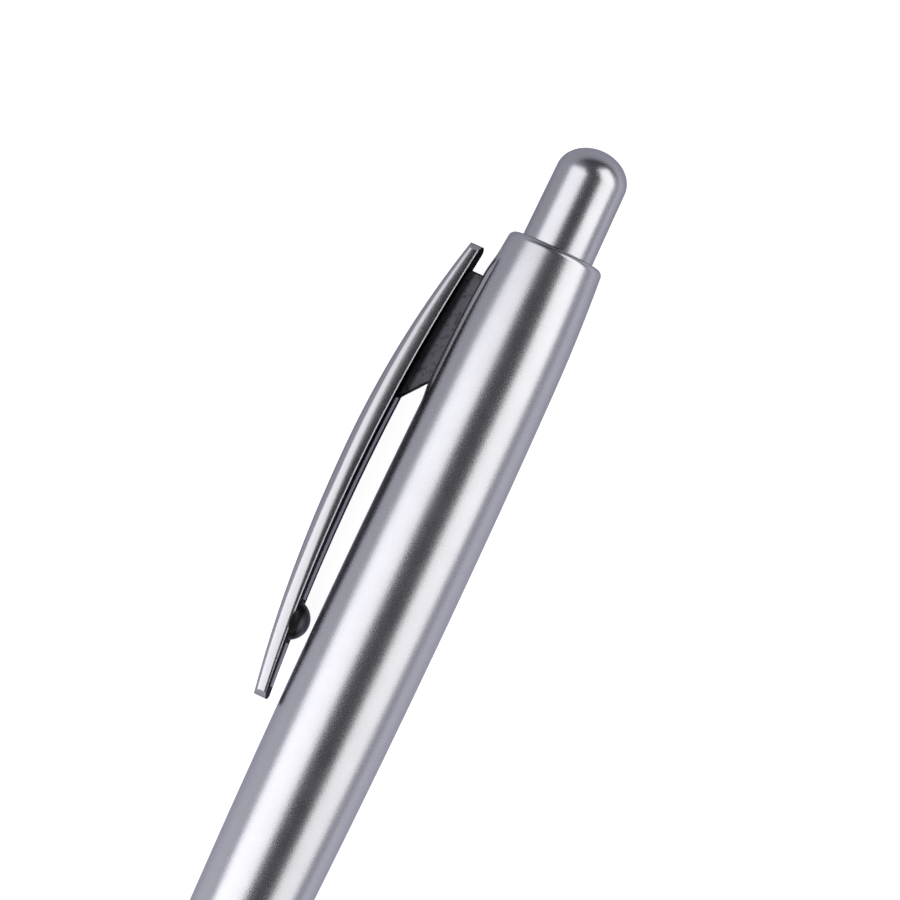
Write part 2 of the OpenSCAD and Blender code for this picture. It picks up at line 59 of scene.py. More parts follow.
# Lengths are in millimetres, and a drop (t in the sums) is measured down from the barrel's top.
# Each piece is shaped upright: x towards the clip, z from the end of the nose up to the button.
# seat() then lays its points down on the table, in metres, where the solids are.
pen = {
    "length": 141.0,
    "buttonOut": 9.8,          # length of button above the barrel
    "radius": 5.4,             # of the barrel at its widest
    "roll": 22.664,            # degrees by which the clip leans down to the table
    "sideStep": 1.989,         # from the middle of the box to the pen's axis
    "columns": 192,            # round each turned piece
    "weld": 2e-7,              # metres within which points are joined
}
topZ = pen["length"] - pen["buttonOut"]
roll = math.radians(pen["roll"])


def seat(points):
    x, y, z = np.asarray(points, float).reshape(-1, 3).T
    return np.column_stack([
        pen["length"] / 2 - z,
        pen["sideStep"] - y * math.sin(roll) - x * math.cos(roll),
        pen["radius"] + y * math.cos(roll) - x * math.sin(roll),
    ]) / 1000


def arcDrop(distance, radius):
    # how far an arc has fallen at a distance from its top
    return radius - np.sqrt(radius ** 2 - np.square(distance))


def arcOn(start, turn, radius, distance):
    # goes on from a radius along an arc that has already turned by an angle
    reach = distance + radius * math.sin(turn)
    return start - radius * math.cos(turn) + np.sqrt(radius ** 2 - reach ** 2)


def makePiece(name, points, faces, sharp=32):
    # edges that turn by more than sharp, in degrees, are shaded as edges
    mesh = bpy.data.meshes.new(name)
    mesh.from_pydata(seat(points).tolist(), [], faces)
    form = bmesh.new()
    form.from_mesh(mesh)
    bmesh.ops.remove_doubles(form, verts=form.verts, dist=pen["weld"])
    form.to_mesh(mesh)
    form.free()
    mesh.shade_smooth()
    mesh.set_sharp_from_angle(angle=math.radians(sharp))
    piece = bpy.data.objects.new(name, mesh)
    bpy.context.scene.collection.objects.link(piece)
    return piece


def loopFaces(rows, columns, first=0, closed=False):
    # quads between rings of points that follow each other, every ring closed on itself
    faces = []
    for row in range(rows if closed else rows - 1):
        here, there = first + row * columns, first + (row + 1) % rows * columns
        for column in range(columns):
            after = (column + 1) % columns
            faces.append((here + column, there + column, there + after, here + after))
    return faces


def turnedPiece(name, outline):
    # outline: (radius, height) pairs, in order round the section, with the material on their left
    # when it is drawn with the axis on the left; where it touches the axis there is a single point
    columns = pen["columns"]
    angles = np.arange(columns) * 2 * math.pi / columns
    rings = [(r, z) for r, z in outline if r > 0]
    poles = [outline[0], outline[-1]] if outline[0][0] == 0 else []
    points = [(r * math.cos(a), r * math.sin(a), z) for r, z in rings for a in angles]
    faces = loopFaces(len(rings), columns, closed=not poles)
    faces = [tuple(reversed(face)) for face in faces]
    if poles:
        last = (len(rings) - 1) * columns
        low = len(points)
        points += [(0, 0, poles[0][1]), (0, 0, poles[1][1])]
        for column in range(columns):
            after = (column + 1) % columns
            faces.append((low, after, column))
            faces.append((low + 1, last + column, last + after))
    return makePiece(name, points, faces)


def roundedCorner(radius, height, size, start, end, steps=8):
    # points of a rounded edge about a centre, between two angles in degrees
    return [(radius + size * math.cos(math.radians(a)), height + size * math.sin(math.radians(a)))
            for a in np.linspace(start, end, steps)]


def between(start, end, step):
    # places from start to end, about a step apart
    return np.linspace(start, end, max(2, int(abs(end - start) / step) + 1))


print("shaping the barrel")

barrel = {
    "widestDrop": 35.0,
    "sideRadius": 1150.0,      # of the long curve of the barrel's side
    "shoulderLength": 12.0,
    "shoulderRadius": 165.0,
    "rimRound": 0.65,
    "upperLength": 71.0,
    "lowerSideRadius": 4000.0,
    "mouthRadius": 3.5,
    "mouthRound": 0.08,
    "lipLength": 3.0,
    "boreRadius": 4.1,
    "bushingRadius": 4.33,
    "bushingLength": 12.03,
    "seamChamfer": 0.12,
    "columns": 128,            # on the far side, beyond the fan
    "fanAngle": 40.0,          # degrees from the clip, up to which columns fan out from the land's edge
    "fanShares": (0.25, 0.5, 0.75),
    "ringStep": 1.0,           # greatest height between two rings of points,
    "nearSlot": 3.0,           # and from this far below the slot
    "nearSlotStep": 0.3,
    "slotStep": 0.6,           # beside the slot
    "rimStep": 0.1,            # between the slot and the rim
}
wideZ = topZ - barrel["widestDrop"]
shoulderZ = topZ - barrel["shoulderLength"]
jointZ = topZ - barrel["upperLength"]


def sideRadius(z):
    return pen["radius"] - arcDrop(z - wideZ, barrel["sideRadius"])


def barrelRadius(z):
    if z > shoulderZ:
        turn = math.asin((shoulderZ - wideZ) / barrel["sideRadius"])
        return float(arcOn(sideRadius(shoulderZ), turn, barrel["shoulderRadius"], z - shoulderZ))
    if z < jointZ:
        turn = math.asin((wideZ - jointZ) / barrel["sideRadius"])
        return float(arcOn(sideRadius(jointZ), turn, barrel["lowerSideRadius"], jointZ - z))
    return float(sideRadius(z))


slot = {
    "topDrop": 4.75,
    "footDrop": 15.15,
    "halfWidth": 0.65,
    "depth": 0.8,
    "floorColumn": 0.3,        # side distance of the points in its floor
    "edgeRound": 0.12,
    "edgeStops": (0.0, 0.03, 0.07, 0.12),   # distances from the slot at which that edge has points
    "land": 0.2,               # height of the raised land round the slot
    "landFlat": 2.08,          # half width of its top
    "landWidth": 2.48,         # half width over all
    "landTopDrop": 2.0,
    "landEndDrop": 17.6,
    "landMargins": (0.1, 0.2),   # from the slot's top and foot to where the land has its whole height
    "landColumns": (1.0, 1.3, 1.6, 1.85),   # side distances of points on its top
    "landEdges": (0.06, 0.05),   # from the two edges of its slope to the points beyond them
    "landSteps": 6,
}


def easeStep(value, start, end):
    share = np.clip((value - start) / (end - start), 0, 1)
    return share * share * (3 - 2 * share)


def landHeight(y, drop):
    slope = slot["landWidth"] - slot["landFlat"]
    across = 1 - float(np.clip((abs(y) - slot["landFlat"]) / slope, 0, 1))
    top, foot = slot["landMargins"]
    rise = easeStep(drop, slot["landTopDrop"], slot["topDrop"] - top)
    fall = easeStep(drop, slot["footDrop"] - foot, slot["landEndDrop"])
    return slot["land"] * across * (rise * (1 - fall))


def slotRounding(y, drop):
    # how far the slot's rounded edge has dropped, outside of the slot
    outside = max(abs(y) - slot["halfWidth"], slot["topDrop"] - drop, drop - slot["footDrop"])
    if outside >= slot["edgeRound"]:
        return 0.0
    return float(arcDrop(slot["edgeRound"] - max(outside, 0), slot["edgeRound"]))


def barrelColumns():
    # side distance near the slot, angle further round, how much the angle counts,
    # and whether it is in the slot
    half, fan, (inner, outer) = slot["halfWidth"], barrel["fanAngle"], slot["landEdges"]
    edge = slot["landWidth"] + outer
    sides = [half + stop for stop in slot["edgeStops"]]
    sides += [*slot["landColumns"], slot["landFlat"] - inner]
    sides += [*np.linspace(slot["landFlat"], slot["landWidth"], slot["landSteps"]), edge]
    columns = [(slot["floorColumn"], 0, 0, True), (half, 0, 0, True)]
    columns += [(y, 0, 0, False) for y in sides]
    columns += [(edge, fan, share, False) for share in barrel["fanShares"]]
    opposite = [(-y, -angle, share, inSlot) for y, angle, share, inSlot in reversed(columns)]
    columns += [(0, angle, 1, False) for angle in np.linspace(fan, 360 - fan, barrel["columns"])]
    return columns + opposite


def barrelRings():
    # radius, height, whether it lies outside, and whether it crosses the slot
    slotTop, slotFoot, rimZ = topZ - slot["topDrop"], topZ - slot["footDrop"], topZ - barrel["rimRound"]
    near, nearStep, rimStep = barrel["nearSlot"], barrel["nearSlotStep"], barrel["rimStep"]
    below = [*between(jointZ + barrel["seamChamfer"], slotFoot - near - 0.1, barrel["ringStep"])]
    below += [*between(slotFoot - near, slotFoot - nearStep, nearStep)]
    below += [slotFoot - stop for stop in reversed(slot["edgeStops"])]
    above = [slotTop + stop for stop in slot["edgeStops"]]
    above += [*between(slotTop + 2 * rimStep, rimZ - rimStep, rimStep)]

    rings = [(barrelRadius(jointZ) - barrel["seamChamfer"], jointZ, True, False)]
    rings += [(barrelRadius(z), z, True, False) for z in below]
    rings += [(barrelRadius(z), z, True, True) for z in between(slotFoot, slotTop, barrel["slotStep"])]
    rings += [(barrelRadius(z), z, True, False) for z in above]
    rim = barrelRadius(rimZ) - barrel["rimRound"]
    rings += [(r, z, True, False) for r, z in roundedCorner(rim, rimZ, barrel["rimRound"], 0, 90, 12)]

    mouth, size = barrel["mouthRadius"], barrel["mouthRound"]
    lipZ, bushingZ = topZ - barrel["lipLength"], jointZ + barrel["bushingLength"]
    inner = roundedCorner(mouth + size, topZ - size, size, 90, 180, 5)
    inner += [(mouth, lipZ), (barrel["boreRadius"], lipZ), (barrel["boreRadius"], bushingZ),
              (barrel["bushingRadius"], bushingZ), (barrel["bushingRadius"], jointZ)]
    return rings + [(r, z, False, False) for r, z in inner]


def shapeBarrel():
    rings, columns = barrelRings(), barrelColumns()
    rimZ = topZ - barrel["rimRound"]
    rimRadius = barrelRadius(rimZ)
    points = []
    for radius, z, outside, ringInSlot in rings:
        for y, angle, share, columnInSlot in columns:
            # above and inside the rim a column keeps the turn that it has at the rim
            sideTurn = math.asin(y / max(radius, rimRadius))
            turn = share * math.radians(angle) + (1 - share) * sideTurn
            grown = radius
            if outside and z < rimZ and math.cos(turn) > 0:
                y, drop = radius * math.sin(turn), topZ - z
                grown += landHeight(y, drop)
                if ringInSlot and columnInSlot:
                    grown -= slot["depth"]
                else:
                    grown -= slotRounding(y, drop)
                turn = math.asin(y / grown)
            points.append((grown * math.cos(turn), grown * math.sin(turn), z))
    faces = loopFaces(len(rings), len(columns), closed=True)
    return makePiece("barrelShell", points, [tuple(reversed(face)) for face in faces], sharp=38)


barrelShell = shapeBarrel()
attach(barrelShell, "barrel")
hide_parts("upper_barrel")

print("shaping the lower barrel and the nose")

front = {
    "noseLength": 16.0,
    "noseEndRadius": 1.7,
    "noseRound": 0.25,
    "spigotRadius": 2.75,
    "spigotTop": 22.0,
    "holeRadius": 1.25,
    "holeChamfer": 0.08,
    "holeTop": 4.0,
    "tubeHoleRadius": 1.65,
    "chamberZ": 10.0,
    "chamberRadius": 2.35,
    "insertZ": 50.17,
    "insertRadius": 3.76,
    "fitGap": 0.03,            # between the spigot and the barrel
}
noseTop = barrelRadius(front["noseLength"])
noseSlope = barrelRadius(front["noseLength"] + 1) - noseTop
noseBow = (noseTop - front["noseEndRadius"] - noseSlope * front["noseLength"]) / front["noseLength"] ** 2
chamfer = barrel["seamChamfer"]


def noseRadius(z):
    below = front["noseLength"] - z
    return noseTop - noseSlope * below - noseBow * below ** 2


noseRound = front["noseRound"]
linerRadius = front["spigotRadius"] + front["fitGap"]
lowerShell = turnedPiece("lowerShell", [
    (linerRadius, front["noseLength"]),
    (noseTop - chamfer, front["noseLength"]),
    *[(barrelRadius(z), z) for z in between(front["noseLength"] + chamfer, jointZ - chamfer, 0.8)],
    (barrelRadius(jointZ) - chamfer, jointZ),
    (front["insertRadius"], jointZ),
    (front["insertRadius"], front["insertZ"]),
    (linerRadius, front["insertZ"]),
])
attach(lowerShell, "front")
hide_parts("lower_barrel")

noseShell = turnedPiece("noseShell", [
    (front["holeRadius"], front["holeChamfer"]),
    (front["holeRadius"] + front["holeChamfer"], 0),
    *roundedCorner(front["noseEndRadius"] - noseRound, noseRound, noseRound, -90, 0),
    *[(noseRadius(z), z) for z in between(0.6, front["noseLength"] - chamfer, 0.4)],
    (noseTop - chamfer, front["noseLength"]),
    (front["spigotRadius"], front["noseLength"]),
    (front["spigotRadius"], front["spigotTop"]),
    (front["chamberRadius"], front["spigotTop"]),
    (front["chamberRadius"], front["chamberZ"]),
    (front["tubeHoleRadius"], front["chamberZ"]),
    (front["tubeHoleRadius"], front["holeTop"]),
    (front["holeRadius"], front["holeTop"]),
])
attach(noseShell, "front")
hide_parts("nose_cone")

print("shaping the button")

button = {
    "radius": 3.4,             # up to the barrel's mouth
    "domeRadius": 3.32,        # at the dome's foot
    "domeHeight": 2.72,
    "length": 22.0,
    "boreRadius": 2.48,
    "topThickness": 5.5,
    "footChamfer": 0.1,
}
domeZ = pen["length"] - button["domeHeight"]
buttonZ = pen["length"] - button["length"]
buttonBoreZ = pen["length"] - button["topThickness"]


def buttonSide(z):
    # straight in the barrel, and a little narrower towards the dome
    return np.interp(z, (topZ, domeZ), (button["radius"], button["domeRadius"]))


buttonCap = turnedPiece("buttonCap", [
    (0, buttonBoreZ),
    (button["boreRadius"], buttonBoreZ),
    (button["boreRadius"], buttonZ),
    (button["radius"] - button["footChamfer"], buttonZ),
    (button["radius"], buttonZ + button["footChamfer"]),
    *[(buttonSide(z), z) for z in between(buttonZ + 1, topZ - 1, 1.0)],
    *[(buttonSide(z), z) for z in between(topZ, domeZ - 0.3, 0.7)],
    *[(button["domeRadius"] * math.cos(a), domeZ + button["domeHeight"] * math.sin(a))
      for a in np.radians(np.linspace(0, 88, 45))],
    (0, pen["length"]),
])
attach(buttonCap, "button")
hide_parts("push_button")

print("shaping the clip")

clip = {
    "topDrop": 2.5,
    "endDrop": 47.3,
    "topRound": 2.1,           # radius of the ends, seen from outside
    "endRound": 1.7,
    "width": 4.41,
    "sideRadius": 280.0,
    # at these drops: how square the crown is (2 is an ellipse), and how high up the arm is widest,
    # as a share of its depth
    "stations": (2.5, 10.0, 20.0, 27.0, 34.0, 41.0, 47.3),
    "squareness": (2.4, 2.35, 2.3, 2.3, 2.8, 3.7, 3.7),
    "belly": (0.5, 0.5, 0.42, 0.36, 0.28, 0.2, 0.2),
    "lean": 0.045,             # how far the sides lean in below it, as a share of half the width
    "edgeBevel": 0.17,         # width of the narrow bevel between the side and the underside
    "edgeTurn": 33.0,          # degrees by which it is turned from the side
    "ridgeReach": 9.81,
    "ridgeDrop": 23.5,
    "ridgeUpperRadius": 90.0,
    "ridgeLowerRadius": 135.0,
    "underReach": 7.69,
    "underDrop": 26.5,
    "underRadius": 190.0,
    "webHalf": 0.6,
    "webTopDrop": 4.8,
    "webFootDrop": 15.1,
    "webTipDrop": 18.05,
    "webFillet": 0.8,
    "webMargin": 0.12,         # how far the fillet stays inside the arm's side
    "webRound": 0.2,
    "webInside": 4.35,         # distance from the pen's axis to where the web ends
    "webSunk": 0.06,           # how far it goes into the arm
    "ribHeight": 0.1,          # of the low rib under the arm, on the web's line
    "ribRound": 0.06,
    "ribSunk": 0.05,
    "overrun": 0.6,            # how far the bar goes on past the ends before they are rounded
    "step": 0.4,               # between its sections
    "cutReach": 20.0,          # distance from the pen's axis up to which its ends are cut
    "webFacing": 0.9,          # how squarely a face looks at the barrel to get the web's darker colour, which is painted shade
    "bendStart": 18.0,         # drops between which it bends
    "bendEnd": 27.0,
}
ball = {
    "radius": 1.9,
    "drop": 39.9,
    "gap": 0.47,               # between the ball and the barrel
    "sunk": 0.01,              # how far it goes into the arm
    "room": 0.2,               # between it and the ends of the ribs
    "columns": 96,
    "rows": 40,
}


def ridgeX(t):
    radius = clip["ridgeUpperRadius"] if t < clip["ridgeDrop"] else clip["ridgeLowerRadius"]
    return clip["ridgeReach"] - float(arcDrop(t - clip["ridgeDrop"], radius))


def underX(t):
    return clip["underReach"] - float(arcDrop(t - clip["underDrop"], clip["underRadius"]))


def armHalf(t):
    return clip["width"] / 2 - float(arcDrop(t - clip["ridgeDrop"], clip["sideRadius"]))


def armRing(t):
    # one section of the arm: flat underside, bevel, side that leans out, crown, and the same back again
    under, depth = underX(t), ridgeX(t) - underX(t)
    half = armHalf(t)
    belly = depth * float(np.interp(t, clip["stations"], clip["belly"]))
    crown, n = depth - belly, float(np.interp(t, clip["stations"], clip["squareness"]))

    def sideY(x):
        return half * (1 - clip["lean"] * (1 - x / belly) ** 2)

    turn = math.radians(clip["edgeTurn"])
    touch = clip["edgeBevel"] * math.cos(turn)
    corner = sideY(touch) - clip["edgeBevel"] * math.sin(turn)
    section = [(y, under) for y in np.linspace(0, corner, 6)]
    section += [(sideY(x), under + x) for x in np.linspace(touch, belly, 8)[:-1]]
    for turn in np.linspace(0, math.pi / 2, 27):
        reach = ((math.cos(turn) / half) ** n + (math.sin(turn) / crown) ** n) ** (-1 / n)
        section.append((reach * math.cos(turn), under + belly + reach * math.sin(turn)))
    section += [(-y, x) for y, x in reversed(section[1:-1])]
    return [(x, y, topZ - t) for y, x in section]


def ribRing(t):
    half, low, corner = clip["webHalf"], underX(t) - clip["ribHeight"], clip["ribRound"]
    section = [(0, low)]
    section += [(half - corner + corner * math.cos(a), low + corner + corner * math.sin(a))
                for a in np.linspace(-math.pi / 2, 0, 6)]
    section += [(half, underX(t) + clip["ribSunk"]), (0, underX(t) + clip["ribSunk"])]
    section += [(-y, x) for y, x in reversed(section[1:-1])]
    return [(x, y, topZ - t) for y, x in section]


def webLoop(share, gap):
    # a loop round the web: at a share of the way from its inner end to the fillet,
    # or in the fillet, at a gap below the arm
    fillet, half, corner = clip["webFillet"], clip["webHalf"], clip["webRound"]
    flare = 0.0 if gap is None else float(arcDrop(fillet - max(gap, 0), fillet))

    def reach(t):
        if gap is None:
            return clip["webInside"] + (underX(t) - fillet - clip["webInside"]) * share
        return underX(t) - gap

    def flared(t, y):
        # the fillet stays inside the arm's side
        room = min(1, (armHalf(t) - clip["webMargin"] - half) / fillet)
        return t, y + flare * y / half * room

    barrelX, tipX = barrelRadius(topZ - clip["webFootDrop"]), underX(clip["webTipDrop"])
    slope = (clip["webTipDrop"] - clip["webFootDrop"]) / (tipX - barrelX)
    top = clip["webTopDrop"]
    foot = clip["webFootDrop"] + slope * max(0, reach(clip["webTipDrop"]) - barrelX)
    quarter = np.radians(np.linspace(0, 90, 7))
    side = half - corner
    loop = [(top + corner - corner * math.cos(a), side + corner * math.sin(a)) for a in quarter]
    loop += [(t, half) for t in np.linspace(top + corner, foot - corner, 18)[1:-1]]
    loop += [(foot - corner + corner * math.sin(a), side + corner * math.cos(a)) for a in quarter]
    loop = [flared(t, y) for t, y in loop]
    loop += [(t, -y) for t, y in reversed(loop)]
    return [(reach(t), y, topZ - t) for t, y in loop]


def stackRings(stacks):
    # closed shells, each through a run of rings, with a flat face at both of its ends
    points, faces = [], []
    for rings in stacks:
        first, columns = len(points), len(rings[0])
        faces += loopFaces(len(rings), columns, first)
        faces.append(tuple(range(first, first + columns)))
        last = first + (len(rings) - 1) * columns
        faces.append(tuple(reversed(range(last, last + columns))))
        points += [point for ring in rings for point in ring]
    return points, faces


def endCutter():
    # a slab as long as the arm, with round ends seen from outside; what lies in it stays
    outline = []
    ends = ((-1, clip["topDrop"], clip["topRound"]), (1, clip["endDrop"], clip["endRound"]))
    for sense, drop, size in ends:
        for a in np.radians(np.linspace(-75, 75, 61)) * -sense:
            outline.append((size * math.sin(a), topZ - drop + sense * size * (1 - math.cos(a))))
        outline.append((sense * -clip["width"], topZ - (clip["topDrop"] + clip["endDrop"]) / 2))
    return stackRings([[[(x, y, z) for y, z in outline] for x in (0.0, clip["cutReach"])]])


def shapeClip():
    drops = between(clip["topDrop"] - clip["overrun"], clip["endDrop"] + clip["overrun"], clip["step"])
    arm = makePiece("clipSolid", *stackRings([[armRing(t) for t in drops]]))
    cutter = makePiece("armEnds", *endCutter())
    cut = arm.modifiers.new("ends", "BOOLEAN")
    cut.operation, cut.solver, cut.object = "INTERSECT", "EXACT", cutter
    bpy.context.view_layer.update()
    rounded = bpy.data.meshes.new_from_object(arm.evaluated_get(bpy.context.evaluated_depsgraph_get()))
    arm.modifiers.clear()
    bpy.data.objects.remove(cutter)

    web = [webLoop(share, None) for share in (0, 0.33, 0.6, 0.8, 0.95)]
    web += [webLoop(None, clip["webFillet"] * gap ** 2) for gap in np.linspace(0.97, 0, 16)]
    web.append(webLoop(None, -clip["webSunk"]))
    ballTop = ball["drop"] - ball["radius"] - ball["room"]
    ballEnd = ball["drop"] + ball["radius"] + ball["room"]
    ribs = [[ribRing(t) for t in between(*span, 0.8)]
            for span in ((clip["webTipDrop"] - 0.3, ballTop), (ballEnd, clip["endDrop"] - 1.2))]
    armFaces = len(rounded.polygons)
    rest = makePiece("webAndRibs", *stackRings([web, *ribs]))
    form = bmesh.new()
    form.from_mesh(rounded)
    form.from_mesh(rest.data)
    form.to_mesh(arm.data)
    form.free()
    bpy.data.objects.remove(rest)
    arm.data.set_sharp_from_angle(angle=math.radians(28))
    webEnd = armFaces + (len(web) - 1) * len(web[0]) + 2
    inwards = Vector((0, math.cos(roll), math.sin(roll)))
    for face in arm.data.polygons:
        # the web and the arm's underside are rougher, and darker by painted shade of the gap between the
        # arm and the barrel
        onWeb = armFaces <= face.index < webEnd
        face.material_index = int(onWeb or face.normal.dot(inwards) > clip["webFacing"])
    return arm


clipSolid = shapeClip()
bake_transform(clipSolid)
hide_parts("clip_root", "clip_arm")


def shapeBall():
    # the side of the ball that faces the barrel, up to the arm's underside, which is found step by step
    size, middleZ = ball["radius"], topZ - ball["drop"]
    middleX = barrelRadius(middleZ) + ball["gap"] + size
    rims = []
    for a in np.arange(ball["columns"]) * 2 * math.pi / ball["columns"]:
        rim = math.pi / 2
        for _ in range(30):
            t = ball["drop"] - size * math.sin(rim) * math.cos(a)
            rim = math.acos((middleX - underX(t) - ball["sunk"]) / size)
        rims.append((a, rim))
    points = [(middleX - size, 0, middleZ)]
    for row in range(1, ball["rows"] + 1):
        for a, rim in rims:
            turn = rim * row / ball["rows"]
            points.append((middleX - size * math.cos(turn), size * math.sin(turn) * math.sin(a),
                           middleZ + size * math.sin(turn) * math.cos(a)))
    columns = ball["columns"]
    faces = [(0, 1 + c, 1 + (c + 1) % columns) for c in range(columns)]
    faces += loopFaces(ball["rows"], columns, 1)
    last = 1 + (ball["rows"] - 1) * columns
    faces.append(tuple(reversed(range(last, last + columns))))
    return makePiece("clipBall", points, faces, sharp=40)


clipBall = shapeBall()
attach(clipBall, "clip")
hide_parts("clip_ball")

print("winding the spring")

spring = {
    "diameter": 4.3,
    "wire": 0.35,
    "turns": 12,
    "endPitch": 0.8,           # its first and last turns lie closer together
    "gap": 0.03,               # at both of its ends
    "earZ": 27.0,              # it stands between the nose's shoulder and the refill's ears
    "stroke": 7.0,             # by which the button shortens it
    "steps": 28,               # in a turn
    "sides": 12,               # of the wire
}


def shapeSpring():
    half = spring["wire"] / 2
    low = front["chamberZ"] + half + spring["gap"]
    high = spring["earZ"] - half - spring["gap"]
    turns, endPitch = spring["turns"], spring["endPitch"]
    pitch = (high - low - 2 * endPitch) / (turns - 2)
    rings = []
    for u in np.linspace(0, turns, turns * spring["steps"] + 1):
        z = low + endPitch * (min(u, 1) + max(u - turns + 1, 0)) + pitch * min(max(u - 1, 0), turns - 2)
        turn, ring = 2 * math.pi * u, []
        for a in np.arange(spring["sides"]) * 2 * math.pi / spring["sides"]:
            reach = spring["diameter"] / 2 - half + half * math.cos(a)
            ring.append((reach * math.cos(turn), reach * math.sin(turn), z + half * math.sin(a)))
        rings.append(ring)
    return makePiece("springCoil", *stackRings([rings]), sharp=50)


springCoil = shapeSpring()
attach(springCoil, "refill")
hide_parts("return_spring")
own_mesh(springCoil)

print("mixing the materials")


class Wire:
    # one output of a node, so that shader maths can be written as sums
    def __init__(self, sheet, socket):
        self.sheet, self.socket = sheet, socket

    def maths(self, operation, first, second):
        return self.sheet.add("Math", {"operation": operation}, {0: first, 1: second})

    def __add__(self, other):
        return self.maths("ADD", self, other)

    def __radd__(self, other):
        return self.maths("ADD", other, self)

    def __sub__(self, other):
        return self.maths("SUBTRACT", self, other)

    def __rsub__(self, other):
        return self.maths("SUBTRACT", other, self)

    def __mul__(self, other):
        return self.maths("MULTIPLY", self, other)

    def __rmul__(self, other):
        return self.maths("MULTIPLY", other, self)

    def __gt__(self, other):
        return self.maths("GREATER_THAN", self, other)


class Sheet:
    # the node tree of a material, a lamp or the world
    def __init__(self, tree):
        self.tree = tree
        tree.nodes.clear()

    def add(self, kind, settings=None, sockets=None, out=0):
        # a node with its settings and the values or links of its sockets; gives one of its outputs
        node = self.tree.nodes.new("ShaderNode" + kind)
        for name, value in (settings or {}).items():
            if name == "stops":
                ramp = node.color_ramp
                while len(ramp.elements) < len(value):
                    ramp.elements.new(1)
                for element, (place, colour) in zip(ramp.elements, value):
                    element.position, element.color = place, (*colour, 1)
            else:
                setattr(node, name, value)
        for name, value in (sockets or {}).items():
            if isinstance(value, Wire):
                self.tree.links.new(value.socket, node.inputs[name])
            elif node.inputs[name].type == "RGBA" and len(value) == 3:
                node.inputs[name].default_value = (*value, 1)
            else:
                node.inputs[name].default_value = value
        return Wire(self, node.outputs[out]) if node.outputs else None

    def blend(self, factor, first, second, kind="MIX"):
        # a mix of two colours, by the numbers of the node's colour sockets
        settings = {"data_type": "RGBA", "blend_type": kind}
        return self.add("Mix", settings, {0: factor, 6: first, 7: second}, 2)

    def rise(self, value, start, end, kind="LINEAR"):
        # rises from 0 at the start to 1 at the end
        settings = {"interpolation_type": kind}
        return self.add("MapRange", settings, {"Value": value, "From Min": start, "From Max": end})

    def places(self):
        # where a point of the piece lies at rest
        return self.add("TexCoord", out="Object")

    def millimetres(self):
        return self.add("VectorMath", {"operation": "SCALE"}, {0: self.places(), "Scale": 1000.0})

    def along(self, where, direction):
        # how far a place lies along a direction
        return self.add("VectorMath", {"operation": "DOT_PRODUCT"}, {0: where, 1: direction}, "Value")

    def speckle(self, where, scale, detail=2.0, rough=0.5):
        # the scale is in patches a millimetre
        return self.add("TexNoise", None, {
            "Vector": where, "Scale": scale, "Detail": detail, "Roughness": rough,
        })

    def finish(self, shader):
        self.add("OutputMaterial", None, {"Surface": shader})


def newMaterial(name):
    material = bpy.data.materials.new(name)
    material.use_nodes = True
    return material, Sheet(material.node_tree)


satin = {
    "barrel": {"colour": (0.44, 0.438, 0.46), "edge": (0.62, 0.62, 0.66), "rough": 0.27, "grain": 0.02},
    "clip": {"colour": (0.375, 0.373, 0.392), "edge": (0.6, 0.6, 0.64), "rough": 0.22, "grain": 0.015},
    "brass": {"colour": (0.62, 0.45, 0.19), "edge": (0.9, 0.8, 0.6), "rough": 0.28, "grain": 0.03},
    "spring": {"colour": (0.55, 0.55, 0.56), "edge": (0.8, 0.8, 0.8), "rough": 0.2, "grain": 0.0},
    # the web and the ball get painted shade towards the arm: darker by a share, between two distances from
    # its underside in millimetres, which is taken as straight between two drops
    # the web's dark colour, which also goes on the arm's underside, is painted shade of the gap between
    # the arm and the barrel
    "web": {
        "colour": (0.096, 0.091, 0.106), "edge": (0.3, 0.3, 0.33), "rough": 0.45, "grain": 0.04,
        "dents": 0.45, "shade": 0.85, "shadeSpan": (0.88, 0.2),
        "shadeDrops": (clip["webTopDrop"], clip["webTipDrop"]),
    },
    "ball": {
        "colour": (0.26, 0.245, 0.28), "edge": (0.5, 0.5, 0.52), "rough": 0.34, "grain": 0.01,
        "metal": 0.6, "shade": 0.94, "shadeSpan": (1.1, 0.62), "shadeDrops": (38.0, 41.8),
    },
}
surface = {
    # of every satin metal; the scales are in patches a millimetre
    "cloudScale": 0.35,
    "cloudShare": 0.35,
    "cloudDarkness": 0.86,
    "cloudRough": 0.07,
    "grainScale": 9.0,
    "grainRough": 0.08,
    "grainBump": 0.25,
    "dustScale": 5.5,
    "dustLimit": 0.79,         # the higher, the less dust
    "dustShare": 0.5,
    "dustBrightness": 1.5,
    "dentScale": 2.2,
    "dentSpan": (0.52, 0.68),
}


# how far into the painted shade near the arm a point lies, from 0 to 1
def paintedArmShade(sheet, where, span, drops):
    ends = [Vector(seat((underX(t), 0, topZ - t))[0]) * 1000 for t in drops]
    line = (ends[1] - ends[0]).normalized()
    outwards = Vector((0, -math.cos(roll), -math.sin(roll)))
    outwards = (outwards - line * outwards.dot(line)).normalized()
    level = ends[0].dot(outwards)
    return sheet.rise(sheet.along(where, outwards), level - span[0], level - span[1])


